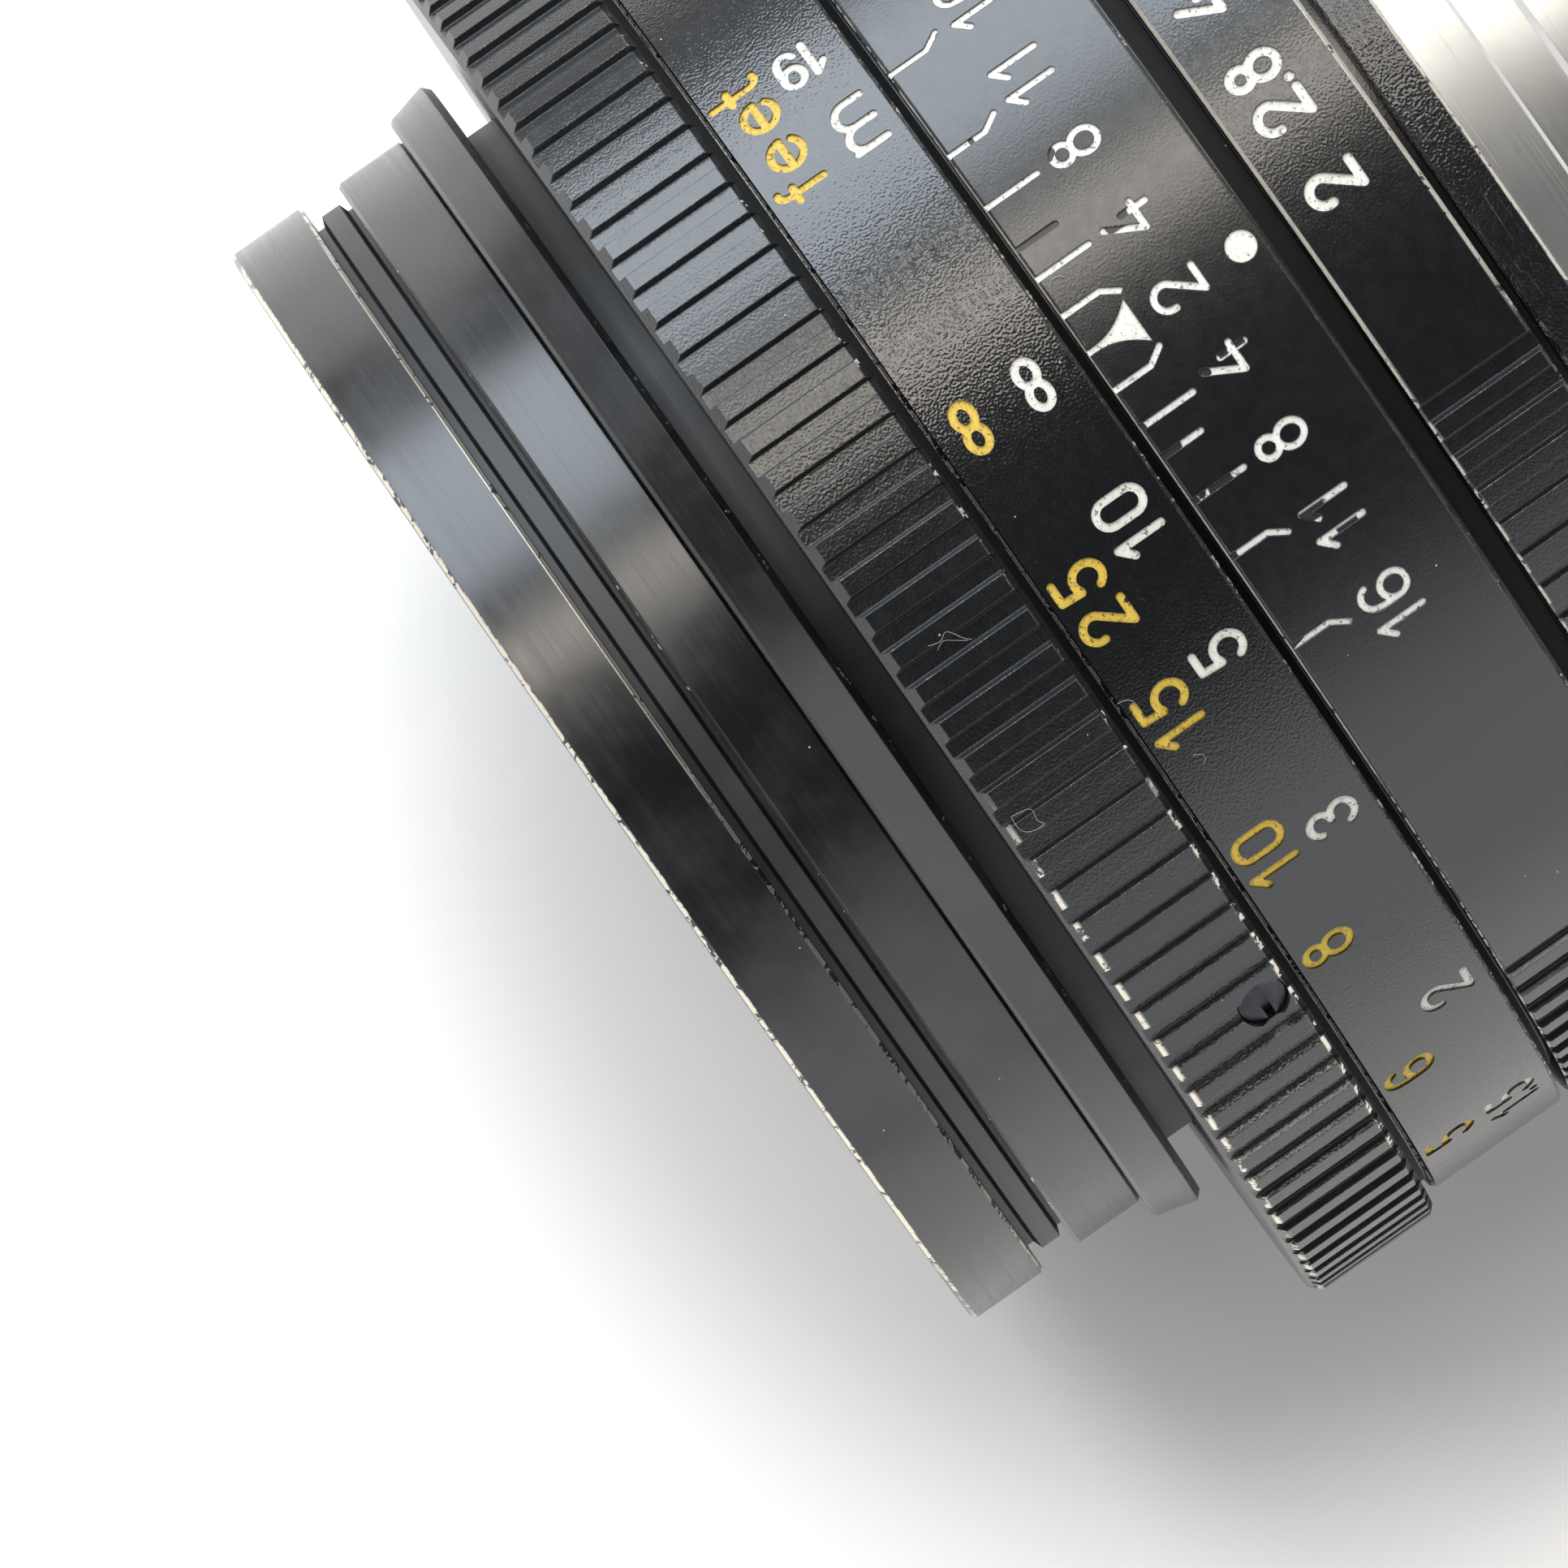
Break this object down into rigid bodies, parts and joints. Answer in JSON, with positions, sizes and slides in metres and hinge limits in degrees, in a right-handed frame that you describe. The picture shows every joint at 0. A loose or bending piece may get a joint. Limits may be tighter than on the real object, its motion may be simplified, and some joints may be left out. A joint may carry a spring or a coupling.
{
  "type": "prime lens",
  "caption": "Manual-focus camera prime lens with ribbed focusing and aperture rings, distance and depth scales, a bladed iris and a bayonet mount.",
  "frame": {"origin": "centre of the mount flange's seating face, on the optical axis", "axes": "-Y along the optical axis towards the subject, +Y towards the camera, +Z through the index mark"},
  "size_m": [0.063, 0.0473, 0.063],
  "materials": {
    "black_paint": "satin",
    "black_matte": "matte",
    "chrome_mount": "polished",
    "brass": "satin",
    "steel": "satin",
    "bead": "gloss",
    "blade_steel": "satin",
    "coated_glass": "gloss"
  },
  "bodies": {
    "fixed_barrel": {"depth_barrel": "black_paint", "rear_ring": "black_paint", "bayonet_mount": "chrome_mount", "mount_screws": "steel", "guide_keys": "brass", "rear_baffle": "black_matte", "click_spring": "steel", "click_ball": "steel", "mount_index_bead": "bead"},
    "aperture_ring": {"aperture_ring": "black_paint", "aperture_fork": "steel"},
    "optical_unit": {"optical_barrel": "black_matte", "front_barrel": "black_paint", "trim_ring": "black_paint", "bezel_ring": "black_matte", "front_retainer": "black_matte", "front_cell": "black_matte", "front_spacer": "black_matte", "front_element": "coated_glass", "second_element": "coated_glass", "third_element": "coated_glass", "fourth_element": "coated_glass", "fifth_element": "coated_glass", "rear_element": "coated_glass", "rear_cell": "black_matte", "rear_spacer": "black_matte", "rear_retainer": "black_matte", "iris_base": "black_matte", "iris_rear_plate": "black_matte"},
    "focus_ring": {"focus_helicoid": "brass", "distance_ring": "black_paint", "focus_grip": "black_paint", "grip_screws": "steel"},
    "iris_ring": {"iris_cam_ring": "brass", "iris_lever_pin": "steel"},
    "blade_1": {"iris_blade_1": "blade_steel"},
    "blade_2": {"iris_blade_2": "blade_steel"},
    "blade_3": {"iris_blade_3": "blade_steel"},
    "blade_4": {"iris_blade_4": "blade_steel"},
    "blade_5": {"iris_blade_5": "blade_steel"},
    "blade_6": {"iris_blade_6": "blade_steel"}
  },
  "joints": [
    {"name": "focus_travel", "type": "slide", "parent": "fixed_barrel", "child": "optical_unit", "axis": [0, -1, 0], "range_m": [0, 0.00695]},
    {"name": "focus_turn", "type": "hinge", "parent": "optical_unit", "child": "focus_ring", "pos_m": [0, 0, 0], "axis": [0, -1, 0], "range_deg": [0, 277]},
    {"name": "aperture_turn", "type": "hinge", "parent": "fixed_barrel", "child": "aperture_ring", "pos_m": [0, 0, 0], "axis": [0, 1, 0], "range_deg": [0, 46.8]},
    {"name": "iris_turn", "type": "hinge", "parent": "optical_unit", "child": "iris_ring", "pos_m": [0, -0.0137, 0], "axis": [0, 1, 0], "range_deg": [0, 46.85]},
    {"name": "blade_1_swing", "type": "hinge", "parent": "optical_unit", "child": "blade_1", "pos_m": [0, -0.015, 0.0182], "axis": [0, 1, 0], "range_deg": [0, 29.96]},
    {"name": "blade_2_swing", "type": "hinge", "parent": "optical_unit", "child": "blade_2", "pos_m": [-0.01576, -0.015, 0.0091], "axis": [0, 1, 0], "range_deg": [0, 29.96]},
    {"name": "blade_3_swing", "type": "hinge", "parent": "optical_unit", "child": "blade_3", "pos_m": [-0.01576, -0.015, -0.0091], "axis": [0, 1, 0], "range_deg": [0, 29.96]},
    {"name": "blade_4_swing", "type": "hinge", "parent": "optical_unit", "child": "blade_4", "pos_m": [0, -0.015, -0.0182], "axis": [0, 1, 0], "range_deg": [0, 29.96]},
    {"name": "blade_5_swing", "type": "hinge", "parent": "optical_unit", "child": "blade_5", "pos_m": [0.01576, -0.015, -0.0091], "axis": [0, 1, 0], "range_deg": [0, 29.96]},
    {"name": "blade_6_swing", "type": "hinge", "parent": "optical_unit", "child": "blade_6", "pos_m": [0.01576, -0.015, 0.0091], "axis": [0, 1, 0], "range_deg": [0, 29.96]}
  ],
  "couplings": [
    {"joint": "focus_travel", "follows": "focus_turn", "m_per_rad": 0.0014244},
    {"joint": "iris_turn", "follows": "aperture_turn", "ratio": 1},
    {"joint": "blade_1_swing", "follows": "aperture_turn", "ratio": 0.63956},
    {"joint": "blade_2_swing", "follows": "aperture_turn", "ratio": 0.63956},
    {"joint": "blade_3_swing", "follows": "aperture_turn", "ratio": 0.63956},
    {"joint": "blade_4_swing", "follows": "aperture_turn", "ratio": 0.63956},
    {"joint": "blade_5_swing", "follows": "aperture_turn", "ratio": 0.63956},
    {"joint": "blade_6_swing", "follows": "aperture_turn", "ratio": 0.63956}
  ]
}
